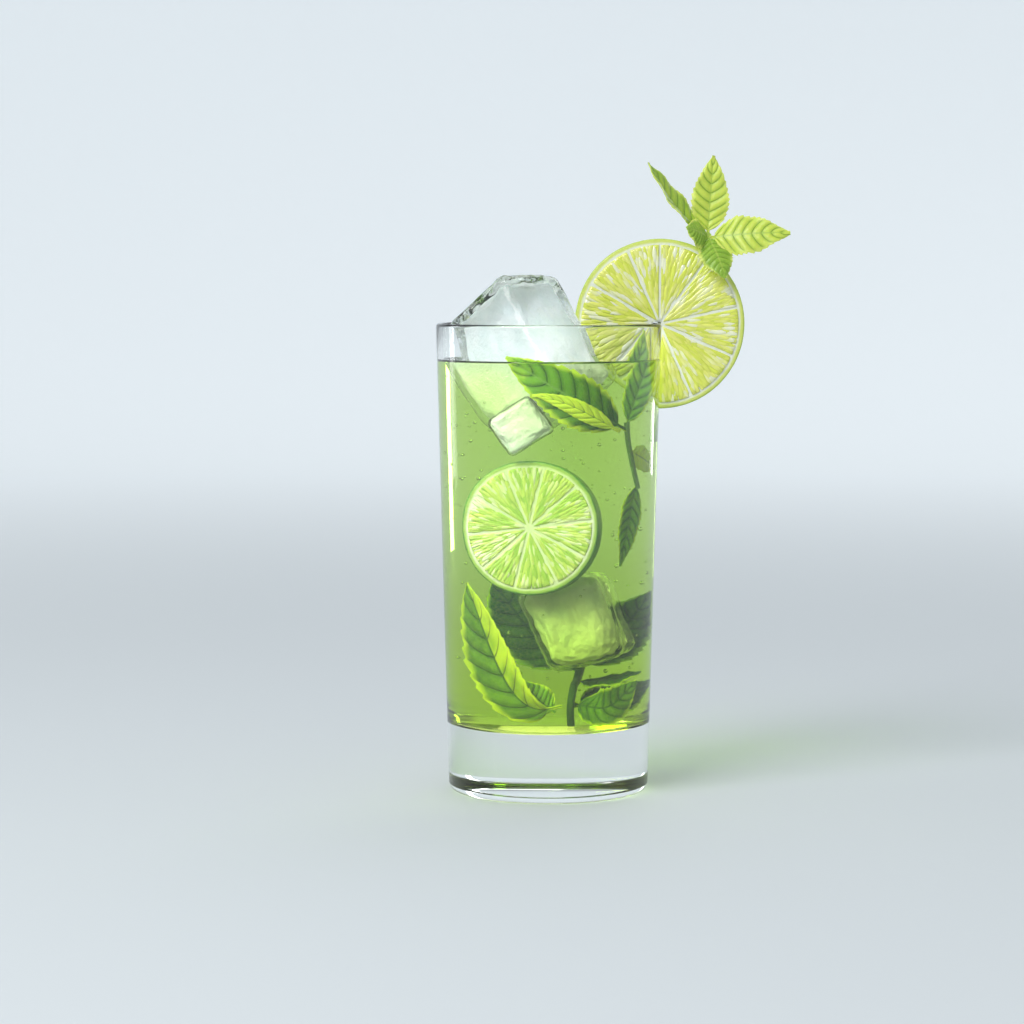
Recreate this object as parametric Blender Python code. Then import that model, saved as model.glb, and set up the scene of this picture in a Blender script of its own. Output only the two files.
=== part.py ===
"""Mojito cocktail: a clear highball glass with a heavy base, the pale green drink, one large
block of ice that stands out of it, a lime wheel slotted on the rim, a mint sprig that hangs
inside the wall and a second sprig held behind the wheel.

Metres, +Z up. The origin is the middle of the underside of the glass; the viewer is at -Y and
the lime wheel is on the right, at +X.
"""

import math

import bmesh
import bpy
from mathutils import Vector

GAP = 0.0003                  # clearance between neighbouring pieces
LEAF_GAP = 0.0005             # the same round a wavy leaf

# Glass
GLASS_HEIGHT = 0.150
RIM_RADIUS = 0.036
FOOT_RADIUS = 0.032
WALL = 0.002
BASE_THICKNESS = 0.022        # solid glass under the floor of the drink
FOOT_ROUND = 0.003
FLOOR_ROUND = 0.004
TURN_STEPS = 72               # facets round the glass and the drink
ARC_STEPS = 4

# Drink
DRINK_LEVEL = 0.138

# Ice: one block, its near top corner and the directions of its three edges
ICE_CORNER = Vector((-0.0152, -0.0138, 0.1672))
ICE_DOWN = Vector((0.417, -0.384, -0.824))
ICE_RIGHT = Vector((0.676, 0.737, 0.0))
ICE_BACK = Vector((-0.607, 0.558, -0.566))
ICE_SIZE = (0.0415, 0.0275, 0.0320)   # lengths along down, right and back
ICE_ROUND = 0.0045
ICE_CELLS = 6                 # grid cells along each edge
ICE_FLAT_SHARE = 1 / 3        # share of those cells that the flat middle takes
ICE_DENT = 0.0005             # depth of the melted hollows

# Lime wheel on the rim
WHEEL_CENTRE = Vector((0.0356, 0.0070, 0.1497))
WHEEL_RADIUS = 0.0272
WHEEL_THICKNESS = 0.0050
WHEEL_WEDGES = 10
WEDGE_STEPS = 6               # angular steps across one wedge
RIND = 0.0012
PITH = 0.0014
CORE_RADIUS = 0.0020
FLESH_RELIEF = 0.00035        # how far the pulp stands proud of the pith
MEMBRANE = 0.0007
SLIT_TOP = GLASS_HEIGHT + GAP

# Mint
LEAF_THICKNESS = 0.0006
LEAF_ROWS = 11
LEAF_COLUMNS = 4
PETIOLE_SHARE = 0.08          # share of a leaf's length that is bare stalk
PETIOLE_HALF_WIDTH = 0.0005
OVATE_POWER = 0.72            # below 1 puts the widest place nearer the base
FULLNESS = 0.85               # below 1 makes the outline rounder
RIPPLES = 3                   # waves along a leaf's edge
HUG_RADIUS = 0.0312           # distance from the axis of leaves that lie against the wall
STEM_RADIUS = 0.0010
STEM_BEVEL_STEPS = 2
STEM_POINTS = 5               # points between two of a stem's own points

COLOURS = {
    "glass": ((0.90, 0.96, 0.93), 0.03, 0.95),
    "drink": ((0.46, 0.62, 0.10), 0.05, 0.80),
    "ice": ((0.85, 0.92, 0.90), 0.08, 0.90),
    "lime": ((0.62, 0.74, 0.16), 0.35, 0.0),
    "mint": ((0.20, 0.38, 0.05), 0.45, 0.0),
}


def clear_scene():
    for item in list(bpy.data.objects):
        bpy.data.objects.remove(item, do_unlink=True)


def material(name):
    """A Principled material with the piece's colour, roughness and clearness."""
    colour, roughness, clearness = COLOURS[name]
    made = bpy.data.materials.new(name)
    made.use_nodes = True
    shader = made.node_tree.nodes["Principled BSDF"]
    shader.inputs["Base Color"].default_value = (*colour, 1.0)
    shader.inputs["Roughness"].default_value = roughness
    shader.inputs["Metallic"].default_value = 0.0
    shader.inputs["Transmission Weight"].default_value = clearness
    made.diffuse_color = (*colour, 1.0)
    return made


def new_object(name, bm):
    """Turns a bmesh into a smooth-shaded object with its normals facing out."""
    bm.normal_update()
    bmesh.ops.recalc_face_normals(bm, faces=bm.faces)
    mesh = bpy.data.meshes.new(name)
    bm.to_mesh(mesh)
    bm.free()
    made = bpy.data.objects.new(name, mesh)
    bpy.context.collection.objects.link(made)
    return made


def finish(item, material_name):
    item.data.shade_smooth()
    item.data.set_sharp_from_angle(angle=math.radians(35))
    item.data.materials.clear()
    item.data.materials.append(material(material_name))


def apply_modifiers(item):
    """Replaces the object's mesh by the one its modifiers make."""
    bpy.context.view_layer.update()
    evaluated = item.evaluated_get(bpy.context.evaluated_depsgraph_get())
    baked = bpy.data.meshes.new_from_object(evaluated)
    item.modifiers.clear()
    item.data = baked


def combine(item, others, operation):
    """Boolean of an object with several others, which are used up."""
    group = bpy.data.collections.new("boolean")
    bpy.context.scene.collection.children.link(group)
    for other in others:
        group.objects.link(other)
    modifier = item.modifiers.new("boolean", "BOOLEAN")
    modifier.operation = operation
    modifier.operand_type = "COLLECTION"
    modifier.collection = group
    modifier.solver = "EXACT"
    apply_modifiers(item)
    for other in others:
        bpy.data.objects.remove(other, do_unlink=True)
    bpy.data.collections.remove(group)
    return item


def outer_radius(height):
    return FOOT_RADIUS + (RIM_RADIUS - FOOT_RADIUS) * height / GLASS_HEIGHT


def inner_radius(height):
    return outer_radius(height) - WALL


def arc(centre_radius, centre_height, radius, start, end):
    """Points of a profile along a rounded corner, with its angles in degrees."""
    turns = [math.radians(start + (end - start) * i / ARC_STEPS) for i in range(ARC_STEPS + 1)]
    return [(centre_radius + radius * math.cos(a), centre_height + radius * math.sin(a)) for a in turns]


def turned(name, profile):
    """Spins a profile of (radius, height) points round the vertical axis."""
    bm = bmesh.new()
    points = [bm.verts.new((radius, 0.0, height)) for radius, height in profile]
    edges = [bm.edges.new(pair) for pair in zip(points, points[1:])]
    if profile[0][0] > 0.0:
        edges.append(bm.edges.new((points[-1], points[0])))
    bmesh.ops.spin(bm, geom=points + edges, cent=(0, 0, 0), axis=(0, 0, 1),
                   angle=math.tau, steps=TURN_STEPS, use_merge=True)
    bmesh.ops.remove_doubles(bm, verts=bm.verts, dist=1e-6)
    return new_object(name, bm)


def make_glass():
    """Outer wall, fire-polished rim and the inside down to the thick clear base."""
    rim_round = WALL / 2
    rim_height = GLASS_HEIGHT - rim_round
    profile = [(0.0, 0.0)]
    profile += arc(outer_radius(FOOT_ROUND) - FOOT_ROUND, FOOT_ROUND, FOOT_ROUND, -90, 0)
    profile += arc(RIM_RADIUS - rim_round, rim_height, rim_round, 0, 180)
    profile += arc(inner_radius(BASE_THICKNESS) - FLOOR_ROUND, BASE_THICKNESS + FLOOR_ROUND,
                   FLOOR_ROUND, 0, -90)
    profile += [(0.0, BASE_THICKNESS)]
    return turned("glass", profile)


def make_drink():
    """The liquid up to its level, a hair clear of the glass."""
    floor = BASE_THICKNESS + GAP
    profile = [(0.0, floor)]
    profile += arc(inner_radius(BASE_THICKNESS) - FLOOR_ROUND - GAP, floor + FLOOR_ROUND,
                   FLOOR_ROUND, -90, 0)
    profile += [(inner_radius(DRINK_LEVEL) - GAP, DRINK_LEVEL), (0.0, DRINK_LEVEL)]
    return turned("drink", profile)


def rounded_share(value):
    """How far a grid value from -1 to 1 is along the flat of a face, and the turn of its edge."""
    size = abs(value)
    flat = math.copysign(min(1.0, size / ICE_FLAT_SHARE), value)
    turn = max(0.0, (size - ICE_FLAT_SHARE) / (1 - ICE_FLAT_SHARE)) * math.pi / 4
    return flat, math.copysign(math.tan(turn), value)


def make_ice(name, grow=0.0):
    """A block with rounded edges and shallow melted hollows, placed by its near top corner."""
    bm = bmesh.new()
    bmesh.ops.create_cube(bm, size=2.0)
    bmesh.ops.subdivide_edges(bm, edges=bm.edges, cuts=ICE_CELLS - 1, use_grid_fill=True)
    sizes = Vector(ICE_SIZE)
    edges = (ICE_DOWN, ICE_RIGHT, ICE_BACK)
    centre = ICE_CORNER + sum((e * s / 2 for e, s in zip(edges, ICE_SIZE)), Vector())
    core = sizes / 2 - Vector((ICE_ROUND,) * 3)
    for vert in bm.verts:
        side = max(range(3), key=lambda i: abs(vert.co[i]))
        flats, turns = zip(*(rounded_share(value) for value in vert.co))
        out = Vector(turns)
        out[side] = math.copysign(1.0, vert.co[side])
        out.normalize()
        dent = ICE_DENT * math.sin(7 * vert.co.x + 3 * vert.co.y) * math.cos(5 * vert.co.z + 2)
        local = Vector(c * f for c, f in zip(core, flats)) + out * (ICE_ROUND + dent + grow)
        vert.co = centre + sum((e * local[i] for i, e in enumerate(edges)), Vector())
    bmesh.ops.triangulate(bm, faces=bm.faces, quad_method="FIXED")
    return new_object(name, bm)


def wheel_face(radius, angle):
    """Height of the cut face over the pith: the pulp of each wedge stands a little proud."""
    inside = WHEEL_RADIUS - RIND - PITH
    if radius <= CORE_RADIUS or radius >= inside:
        return 0.0
    wedge = math.tau / WHEEL_WEDGES
    off = abs((angle / wedge) % 1.0 - 0.5) * wedge * radius
    to_membrane = wedge * radius / 2 - off
    return FLESH_RELIEF if to_membrane > MEMBRANE else 0.0


def make_wheel(name):
    """A slice of lime that faces the viewer, with its pulp in low relief."""
    bm = bmesh.new()
    flesh_edge = WHEEL_RADIUS - RIND - PITH
    rings = [CORE_RADIUS, CORE_RADIUS * 2, flesh_edge / 2, flesh_edge - MEMBRANE, flesh_edge,
             WHEEL_RADIUS - RIND]
    count = WHEEL_WEDGES * WEDGE_STEPS
    half = WHEEL_THICKNESS / 2
    loops = []
    for face in (-1, 1):
        side = []
        for radius in rings:
            ring = []
            for i in range(count):
                angle = math.tau * i / count
                out = half + wheel_face(radius, angle)
                ring.append(bm.verts.new((radius * math.cos(angle), face * out, radius * math.sin(angle))))
            side.append(ring)
        edge = []
        for i in range(count):
            angle = math.tau * i / count
            edge.append(bm.verts.new((WHEEL_RADIUS * math.cos(angle), face * (half - RIND / 2),
                                      WHEEL_RADIUS * math.sin(angle))))
        side.append(edge)
        middle = bm.verts.new((0.0, face * half, 0.0))
        for i in range(count):
            bm.faces.new((middle, side[0][i], side[0][(i + 1) % count]))
        loops.append(side)
    strips = [(a, b) for side in loops for a, b in zip(side, side[1:])] + [(loops[0][-1], loops[1][-1])]
    for first, second in strips:
        for i in range(count):
            j = (i + 1) % count
            bm.faces.new((first[i], first[j], second[j], second[i]))
    bmesh.ops.translate(bm, verts=bm.verts, vec=WHEEL_CENTRE)
    return new_object(name, bm)


def wheel_space(name, grow):
    """The plain disc that the drink leaves free for the wheel."""
    bm = bmesh.new()
    bmesh.ops.create_cone(bm, cap_ends=True, segments=TURN_STEPS, radius1=WHEEL_RADIUS + grow,
                          radius2=WHEEL_RADIUS + grow,
                          depth=WHEEL_THICKNESS + 2 * (FLESH_RELIEF + grow))
    for vert in bm.verts:
        vert.co = WHEEL_CENTRE + Vector((vert.co.x, vert.co.z, vert.co.y))
    return new_object(name, bm)


def wall_space():
    """A ring as thick as the wall and its clearance, which cuts the wheel's slit."""
    low = WHEEL_CENTRE.z - 2 * WHEEL_RADIUS
    profile = [(inner_radius(low) - GAP, low), (outer_radius(low) + GAP, low),
               (outer_radius(SLIT_TOP) + GAP, SLIT_TOP), (inner_radius(SLIT_TOP) - GAP, SLIT_TOP)]
    return turned("slit", profile)


def ovate(share):
    """Width of a mint leaf's blade, from its round base to its pointed tip, widest at 1."""
    return math.sin(math.pi * min(max(share, 0.0), 1.0) ** OVATE_POWER) ** FULLNESS


def against_wall(point):
    """Bends a leaf that was laid out flat in X and Z on to the inside of the wall."""
    radius = HUG_RADIUS - point.y
    return Vector((point.x, -math.sqrt(radius ** 2 - point.x ** 2), point.z))


def make_leaf(name, base, tip, width, facing, bow=0.0, fold=0.0, ripple=0.0, hug=False, grow=0.0):
    """A thin wavy leaf. bow lifts its middle towards facing, fold lifts both its sides."""
    base = Vector(base)
    along = Vector(tip) - base
    length = along.length
    along.normalize()
    across = Vector(facing).cross(along).normalized()
    up = along.cross(across).normalized()

    def surface(row, column):
        share = row / LEAF_ROWS
        side = 2 * column / LEAF_COLUMNS - 1
        blade = (share - PETIOLE_SHARE) / (1 - PETIOLE_SHARE)
        half = max(PETIOLE_HALF_WIDTH, width / 2 * ovate(blade)) + grow
        reach = share * (length + 2 * grow) - grow
        lift = bow * math.sin(math.pi * share) + fold * abs(side) * half
        lift += ripple * side * side * math.sin(RIPPLES * math.tau * share + side)
        point = base + along * reach + across * side * half + up * lift
        return against_wall(point) if hug else point

    grid = [[surface(r, c) for c in range(LEAF_COLUMNS + 1)] for r in range(LEAF_ROWS + 1)]

    def normal(row, column):
        before, after = max(row - 1, 0), min(row + 1, LEAF_ROWS)
        left, right = max(column - 1, 0), min(column + 1, LEAF_COLUMNS)
        along_row = grid[after][column] - grid[before][column]
        return along_row.cross(grid[row][right] - grid[row][left]).normalized()

    bm = bmesh.new()
    half_thick = LEAF_THICKNESS / 2 + grow
    layers = [[[bm.verts.new(grid[r][c] + normal(r, c) * side * half_thick)
                for c in range(LEAF_COLUMNS + 1)] for r in range(LEAF_ROWS + 1)] for side in (-1, 1)]
    for layer in layers:
        for r in range(LEAF_ROWS):
            for c in range(LEAF_COLUMNS):
                a, b = layer[r][c], layer[r][c + 1]
                d, e = layer[r + 1][c], layer[r + 1][c + 1]
                bm.faces.new((a, b, e))
                bm.faces.new((a, e, d))
    rim = [(0, c) for c in range(LEAF_COLUMNS)] + [(r, LEAF_COLUMNS) for r in range(LEAF_ROWS)]
    rim += [(LEAF_ROWS, c) for c in range(LEAF_COLUMNS, 0, -1)] + [(r, 0) for r in range(LEAF_ROWS, 0, -1)]
    under, over = layers
    for (r, c), (s, d) in zip(rim, rim[1:] + rim[:1]):
        bm.faces.new((under[r][c], under[s][d], over[s][d], over[r][c]))
    return new_object(name, bm)


def smooth_path(points):
    """Points along a soft curve through a stem's own points."""
    path = [Vector(p) for p in points]
    ends = [path[0] * 2 - path[1]] + path + [path[-1] * 2 - path[-2]]
    result = []
    for a, b, c, d in zip(ends, ends[1:], ends[2:], ends[3:]):
        for i in range(STEM_POINTS):
            t = i / STEM_POINTS
            result.append(0.5 * ((2 * b) + (c - a) * t + (2 * a - 5 * b + 4 * c - d) * t * t
                                 + (3 * b - a - 3 * c + d) * t ** 3))
    return result + [path[-1]]


def make_stem(name, points, grow=0.0):
    """A round stem along a soft curve, with closed ends."""
    path = smooth_path(points)
    path[0] += (path[0] - path[1]).normalized() * grow
    path[-1] += (path[-1] - path[-2]).normalized() * grow
    curve = bpy.data.curves.new(name, "CURVE")
    curve.dimensions = "3D"
    curve.bevel_depth = STEM_RADIUS + grow
    curve.bevel_resolution = STEM_BEVEL_STEPS
    curve.use_fill_caps = True
    spline = curve.splines.new("POLY")
    spline.points.add(len(path) - 1)
    for point, place in zip(spline.points, path):
        point.co = (*place, 1.0)
    guide = bpy.data.objects.new(name, curve)
    bpy.context.collection.objects.link(guide)
    bpy.context.view_layer.update()
    evaluated = guide.evaluated_get(bpy.context.evaluated_depsgraph_get())
    bm = bmesh.new()
    bm.from_mesh(bpy.data.meshes.new_from_object(evaluated))
    bmesh.ops.remove_doubles(bm, verts=bm.verts, dist=1e-6)
    bpy.data.objects.remove(guide, do_unlink=True)
    return new_object(name, bm)


def inner_sprig(name, grow=0.0):
    """The sprig inside the wall: a short stem, two large leaves at its top, two lower ones."""
    front = (0.0, -1.0, 0.0)
    stem = make_stem(name, [(0.0232, -0.0205, 0.1195), (0.0236, -0.0202, 0.1140),
                            (0.0250, -0.0184, 0.1060), (0.0266, -0.0160, 0.0985)], grow)
    leaves = [
        make_leaf("broad", (0.0234, 0.0, 0.1170), (-0.0130, 0.0, 0.1400), 0.0165, front,
                  ripple=0.0004, hug=True, grow=grow),
        make_leaf("right", (0.0226, -0.0201, 0.1175), (0.0304, -0.0034, 0.1466), 0.0108,
                  (0.45, -0.89, 0.0), fold=0.10, ripple=0.0004, grow=grow),
        make_leaf("lower", (0.0260, -0.0160, 0.1010), (0.0212, -0.0200, 0.0742), 0.0092,
                  (0.72, -0.69, 0.0), fold=0.15, ripple=0.0003, grow=grow),
        make_leaf("young", (0.0242, -0.0192, 0.1104), (0.0300, -0.0085, 0.1052), 0.0062,
                  (0.60, -0.78, 0.2), bow=0.0008, ripple=0.0005, grow=grow),
    ]
    return combine(stem, leaves, "UNION")


def rim_stem(name, grow=0.0):
    """The stem of the second sprig: up inside the wall, out behind the wheel and forward."""
    return make_stem(name, [(0.0215, 0.0135, 0.1120), (0.0262, 0.0130, 0.1320), (0.0303, 0.0126, 0.1500),
                            (0.0395, 0.0130, 0.1630), (0.0462, 0.0125, 0.1715), (0.0500, 0.0085, 0.1762),
                            (0.0510, 0.0040, 0.1780)], grow)


def rim_sprig(name):
    leaves = [
        make_leaf("left", (0.0500, 0.0058, 0.1775), (0.0316, 0.0030, 0.2010), 0.0100,
                  (0.80, -0.50, 0.45), bow=-0.0018, fold=0.35, ripple=0.0004),
        make_leaf("upright", (0.0508, 0.0052, 0.1775), (0.0528, 0.0080, 0.2034), 0.0122,
                  (0.10, -1.0, 0.10), bow=-0.0010, fold=0.12, ripple=0.0005),
        make_leaf("right", (0.0508, 0.0045, 0.1770), (0.0769, 0.0005, 0.1787), 0.0132,
                  (-0.10, -0.92, 0.35), bow=0.0015, fold=-0.12, ripple=0.0006),
        make_leaf("near", (0.0508, 0.0046, 0.1776), (0.0440, -0.0030, 0.1790), 0.0095,
                  (-0.25, -0.55, 0.80), bow=0.0008, fold=-0.35, ripple=0.0003),
        make_leaf("hanging", (0.0509, 0.0042, 0.1774), (0.0562, -0.0020, 0.1643), 0.0110,
                  (0.15, -0.90, 0.40), bow=0.0014, fold=-0.20, ripple=0.0004),
    ]
    return combine(rim_stem(name), leaves, "UNION")


def build():
    clear_scene()
    finish(make_glass(), "glass")

    finish(make_ice("ice_block"), "ice")
    finish(combine(make_wheel("lime_wheel"), [wall_space()], "DIFFERENCE"), "lime")
    finish(inner_sprig("mint_sprig_inner"), "mint")
    finish(rim_sprig("mint_sprig_rim"), "mint")

    spaces = [make_ice("ice_space", GAP), wheel_space("wheel_space", GAP),
              inner_sprig("inner_sprig_space", LEAF_GAP), rim_stem("rim_stem_space", GAP)]
    finish(combine(make_drink(), spaces, "DIFFERENCE"), "drink")


build()
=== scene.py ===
# %% [markdown]
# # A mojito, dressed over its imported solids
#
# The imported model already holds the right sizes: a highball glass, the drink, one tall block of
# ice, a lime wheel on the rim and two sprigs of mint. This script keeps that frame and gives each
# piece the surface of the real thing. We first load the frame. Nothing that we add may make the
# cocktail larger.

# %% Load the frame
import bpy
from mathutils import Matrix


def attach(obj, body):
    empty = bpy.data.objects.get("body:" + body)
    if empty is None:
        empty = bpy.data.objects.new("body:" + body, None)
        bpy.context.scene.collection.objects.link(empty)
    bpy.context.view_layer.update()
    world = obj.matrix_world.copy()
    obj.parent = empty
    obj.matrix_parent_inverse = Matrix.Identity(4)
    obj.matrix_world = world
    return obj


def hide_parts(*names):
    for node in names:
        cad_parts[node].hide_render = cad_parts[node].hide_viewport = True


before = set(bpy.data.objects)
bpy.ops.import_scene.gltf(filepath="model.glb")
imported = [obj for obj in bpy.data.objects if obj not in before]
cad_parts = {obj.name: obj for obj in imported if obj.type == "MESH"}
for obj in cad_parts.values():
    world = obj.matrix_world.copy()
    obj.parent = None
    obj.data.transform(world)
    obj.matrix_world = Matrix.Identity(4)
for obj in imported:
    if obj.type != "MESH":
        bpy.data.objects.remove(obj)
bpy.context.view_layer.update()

# %% [markdown]
# ## Tools that every piece shares
#
# A mesh can be typed in by hand, drawn with modifiers, or computed from a rule. Most pieces here
# follow a rule, so we compute rings or grids of points with numpy and skin them. Two helpers are
# enough: one turns an array of closed rings into a sealed skin with a pole at each end, and one
# turns plain vertices and faces into a smooth-shaded object.

# %% Mesh helpers
import math

import bmesh
import bpy
import numpy as np
from mathutils import Matrix, Vector, noise

MM = 0.001


def as_object(name, verts, faces, smooth_angle=40):
    """A smooth-shaded mesh object with its faces pointing outwards."""
    mesh = bpy.data.meshes.new(name)
    mesh.from_pydata([tuple(v) for v in verts], [], [tuple(f) for f in faces])
    bm = bmesh.new()
    bm.from_mesh(mesh)
    bmesh.ops.remove_doubles(bm, verts=bm.verts, dist=1e-7)
    bm.normal_update()
    bmesh.ops.recalc_face_normals(bm, faces=bm.faces)
    bm.to_mesh(mesh)
    bm.free()
    mesh.shade_smooth()
    mesh.set_sharp_from_angle(angle=math.radians(smooth_angle))
    made = bpy.data.objects.new(name, mesh)
    bpy.context.collection.objects.link(made)
    return made


def skin(rings):
    """Vertices and faces of a closed skin over rings of points, with a pole at each end."""
    rings = np.asarray(rings, float)
    count, around, _ = rings.shape
    verts = np.vstack([rings.reshape(-1, 3), rings[0].mean(0), rings[-1].mean(0)])
    first, last = count * around, count * around + 1
    j = np.arange(around)
    k = (j + 1) % around
    faces = [(first, a, b) for a, b in zip(j, k)]
    for i in range(count - 1):
        low, high = i * around, (i + 1) * around
        faces += list(zip(low + j, high + j, high + k, low + k))
    top = (count - 1) * around
    faces += [(last, b, a) for a, b in zip(top + j, top + k)]
    return verts, faces


def joined(name, parts):
    """Several objects made into one, which keeps their materials and attributes."""
    bpy.ops.object.select_all(action="DESELECT")
    for part in parts:
        part.select_set(True)
    bpy.context.view_layer.objects.active = parts[0]
    bpy.ops.object.join()
    parts[0].name = name
    parts[0].data.name = name
    return parts[0]


def plain_object(name, verts, edges=(), faces=()):
    """An object from points, edges and faces as they are."""
    mesh = bpy.data.meshes.new(name)
    mesh.from_pydata(verts, edges, faces)
    made = bpy.data.objects.new(name, mesh)
    bpy.context.collection.objects.link(made)
    return made


def places_of(mesh):
    """The coordinates of all points in one flat array."""
    places = np.empty(len(mesh.vertices) * 3)
    mesh.vertices.foreach_get("co", places)
    return places


def bake_modifiers(item):
    """Replaces an object's mesh by what its modifiers make of it, and removes them."""
    bpy.context.view_layer.update()
    evaluated = item.evaluated_get(bpy.context.evaluated_depsgraph_get())
    mesh = bpy.data.meshes.new_from_object(evaluated)
    item.modifiers.clear()
    item.data = mesh
    return item


def cut_out(item, tool):
    """Takes the space of another object out of an item."""
    cut = item.modifiers.new("cut", "BOOLEAN")
    cut.operation, cut.solver, cut.object = "DIFFERENCE", "EXACT", tool
    bake_modifiers(item)


def sealed(name, item, smooth_angle):
    """An object built again from its mesh, with merged points and faces that look outwards."""
    verts = [v.co[:] for v in item.data.vertices]
    faces = [p.vertices[:] for p in item.data.polygons]
    bpy.data.objects.remove(item, do_unlink=True)
    return as_object(name, verts, faces, smooth_angle)


def tell(item):
    """Prints what was made, in triangles and millimetres."""
    item.data.calc_loop_triangles()
    corners = np.array([c[:] for c in item.bound_box]) / MM
    size = corners.max(0) - corners.min(0)
    print(f"{item.name}: {len(item.data.loop_triangles)} triangles, "
          f"{size[0]:.1f} x {size[1]:.1f} x {size[2]:.1f} mm")


# %% [markdown]
# ## Short names for shader nodes
#
# A node material is a small graph. Written out in full, each node takes four or five lines, which
# hides the idea. These helpers add a node with its settings and inputs in one call, so that a
# finish can be read from top to bottom like a recipe.

# %% Shader helpers
def put(tree, socket, value):
    """Sets a socket, or links it if the value is another node's output."""
    if isinstance(value, bpy.types.NodeSocket):
        tree.links.new(value, socket)
    else:
        socket.default_value = value


def fill(tree, node, inputs):
    """Sets or links several inputs of a node."""
    for key, value in inputs.items():
        put(tree, node.inputs[key], value)


def add(tree, kind, settings, inputs):
    """Adds a node with its settings and inputs."""
    node = tree.nodes.new(kind)
    for key, value in settings.items():
        setattr(node, key, value)
    fill(tree, node, inputs)
    return node


def calc(tree, operation, *values):
    """One Math node; a plain number is written into its socket."""
    return add(tree, "ShaderNodeMath", {"operation": operation}, dict(enumerate(values))).outputs[0]


def times(tree, first, second):
    return calc(tree, "MULTIPLY", first, second)


def rest_of(tree, value):
    """One minus the value."""
    return calc(tree, "SUBTRACT", 1.0, value)


def between(tree, value, low, high):
    """0 below low, 1 above high and a soft step from one to the other."""
    node = add(tree, "ShaderNodeMapRange", {"interpolation_type": "SMOOTHSTEP"},
               {"Value": value, "From Min": low, "From Max": high})
    return node.outputs["Result"]


def tint(tree, share, first, second):
    """Mixes two colours; share 0 is the first and 1 the second."""
    node = add(tree, "ShaderNodeMix", {"data_type": "RGBA"}, {0: share})
    for index, colour in ((6, first), (7, second)):
        linked = isinstance(colour, bpy.types.NodeSocket)
        put(tree, node.inputs[index], colour if linked else (*colour, 1.0))
    return node.outputs[2]


def speckle(tree, place, scale, detail=2.0, roughness=0.5):
    node = add(tree, "ShaderNodeTexNoise", {}, {"Vector": place, "Scale": scale, "Detail": detail,
                                                "Roughness": roughness})
    return node.outputs["Fac"]


def cells(tree, place, scale, feature="F1"):
    node = add(tree, "ShaderNodeTexVoronoi", {"feature": feature}, {"Vector": place, "Scale": scale})
    return node.outputs["Distance"]


def parts_of(tree, vector):
    """The X, Y and Z of a vector."""
    return add(tree, "ShaderNodeSeparateXYZ", {}, {0: vector}).outputs


def bumps(tree, height, distance, strength=1.0):
    node = add(tree, "ShaderNodeBump", {}, {"Height": height, "Distance": distance, "Strength": strength})
    return node.outputs["Normal"]


def new_finish(name):
    """A material with its node tree and its Principled shader."""
    made = bpy.data.materials.new(name)
    made.use_nodes = True
    return made, made.node_tree, made.node_tree.nodes["Principled BSDF"]


def on_object(tree):
    return add(tree, "ShaderNodeTexCoord", {}, {}).outputs["Object"]


def attribute(tree, name, output="Fac"):
    return add(tree, "ShaderNodeAttribute", {"attribute_name": name}, {}).outputs[output]


def lamps_pass(tree, shader, colour):
    """Shadow rays go straight through a clear piece, lightly tinted, so what is inside is lit."""
    ray = add(tree, "ShaderNodeLightPath", {}, {})
    clear = add(tree, "ShaderNodeBsdfTransparent", {}, {"Color": (*colour, 1.0)})
    mix = add(tree, "ShaderNodeMixShader", {}, {0: ray.outputs["Is Shadow Ray"], 1: shader.outputs[0],
                                                2: clear.outputs[0]})
    tree.links.new(mix.outputs[0], tree.nodes["Material Output"].inputs["Surface"])


# %% [markdown]
# ## Short names for geometry nodes
#
# Geometry Nodes suit whatever repeats: juice sacs, bubbles, stems along a path. A tree is built
# once, with named inputs, and a modifier runs it. The modifier's inputs are set by the socket's
# identifier before the object is first evaluated, and the result is then kept as a plain mesh.

# %% Geometry tree helpers
def new_tree(name, inputs):
    """An empty geometry tree with named inputs, and its two end nodes."""
    tree = bpy.data.node_groups.new(name, "GeometryNodeTree")
    tree.interface.new_socket("Geometry", in_out="INPUT", socket_type="NodeSocketGeometry")
    for label, kind, value in inputs:
        socket = tree.interface.new_socket(label, in_out="INPUT", socket_type=kind)
        if value is not None:
            socket.default_value = value
    tree.interface.new_socket("Geometry", in_out="OUTPUT", socket_type="NodeSocketGeometry")
    start = tree.nodes.new("NodeGroupInput")
    end = tree.nodes.new("NodeGroupOutput")
    return tree, start, end


def random_share(tree, low, high, seed):
    """A random number for each point."""
    return add(tree, "FunctionNodeRandomValue", {"data_type": "FLOAT"},
               {2: low, 3: high, "Seed": seed}).outputs[1]


def end_tree(tree, start, end, geometry):
    """Makes instances real, gives the mesh its finish and hands it out."""
    real = add(tree, "GeometryNodeRealizeInstances", {}, {0: geometry})
    painted = add(tree, "GeometryNodeSetMaterial", {},
                  {0: real.outputs[0], "Material": start.outputs["Finish"]})
    tree.links.new(painted.outputs[0], end.inputs[0])
    return tree


def run_tree(item, tree, values):
    """Runs a geometry tree on an object and keeps the mesh that it makes."""
    modifier = item.modifiers.new(tree.name, "NODES")
    modifier.node_group = tree
    names = {socket.name: socket.identifier for socket in tree.interface.items_tree
             if socket.in_out == "INPUT"}
    for label, value in values.items():
        modifier[names[label]] = value
    return bake_modifiers(item)


# %% [markdown]
# ## The camera
#
# The drawing shows the glass from just above its rim. A long lens from one metre keeps the sides
# almost upright, as the drawing has them. The three angles place the middle of the rim and the
# foot of the glass where they stand in the picture.

# %% Camera
CAMERA_PLACE = (0.0, -1.0, 0.170)
LENS = 110.0
TILT_DOWN = 4.60
TURN_LEFT = 0.67

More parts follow.
